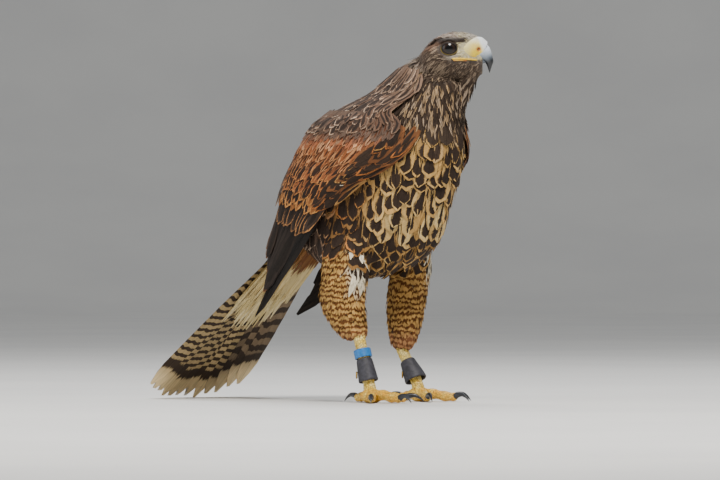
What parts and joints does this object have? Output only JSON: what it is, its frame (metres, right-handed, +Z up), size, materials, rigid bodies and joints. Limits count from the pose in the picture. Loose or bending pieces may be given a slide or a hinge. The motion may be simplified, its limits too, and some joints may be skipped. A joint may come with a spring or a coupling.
{
  "type": "harris hawk",
  "caption": "Life-size still model of a young harris hawk standing upright with its head turned to its left, tail resting on the floor, leather cuffs on its legs.",
  "frame": {"origin": "middle of the bounding box, on the floor the bird stands on", "axes": "+Z up, +X the way the body faces, +Y towards the bird's left"},
  "size_m": [0.3874, 0.1454, 0.3506],
  "materials": {
    "body_feathers": "dark brown body feathers with buff edges and drop-shaped spots",
    "wing_feathers": "dark brown wing feathers, chestnut at the shoulder",
    "tail_feathers": "pale buff tail feathers with narrow dark bars and a white tip",
    "thigh_feathers": "chestnut and cream barred thigh feathers",
    "bare_skin": "yellow scaled skin",
    "cere": "waxy yellow skin",
    "bill": "blue-grey horn with a black tip",
    "claws": "polished black horn",
    "eyes": "dark brown glass eye",
    "cuffs": "dark grey leather",
    "leg_ring": "sky blue plastic",
    "eyelets": "satin"
  },
  "bodies": {
    "root": {"head": "body_feathers", "cere": "cere", "upper_bill": "bill", "lower_bill": "bill", "eye_right": "eyes", "eye_left": "eyes", "neck": "body_feathers", "torso": "body_feathers", "wing_right": "wing_feathers", "wing_left": "wing_feathers", "tail": "tail_feathers", "thigh_right": "thigh_feathers", "shank_right": "bare_skin", "claw_inner_right": "claws", "claw_middle_right": "claws", "claw_outer_right": "claws", "claw_hind_right": "claws", "foot_right": "bare_skin", "cuff_right": "cuffs", "eyelet_right": "eyelets", "thigh_left": "thigh_feathers", "shank_left": "bare_skin", "claw_inner_left": "claws", "claw_middle_left": "claws", "claw_outer_left": "claws", "claw_hind_left": "claws", "foot_left": "bare_skin", "cuff_left": "cuffs", "eyelet_left": "eyelets", "leg_ring": "leg_ring"}
  },
  "joints": []
}
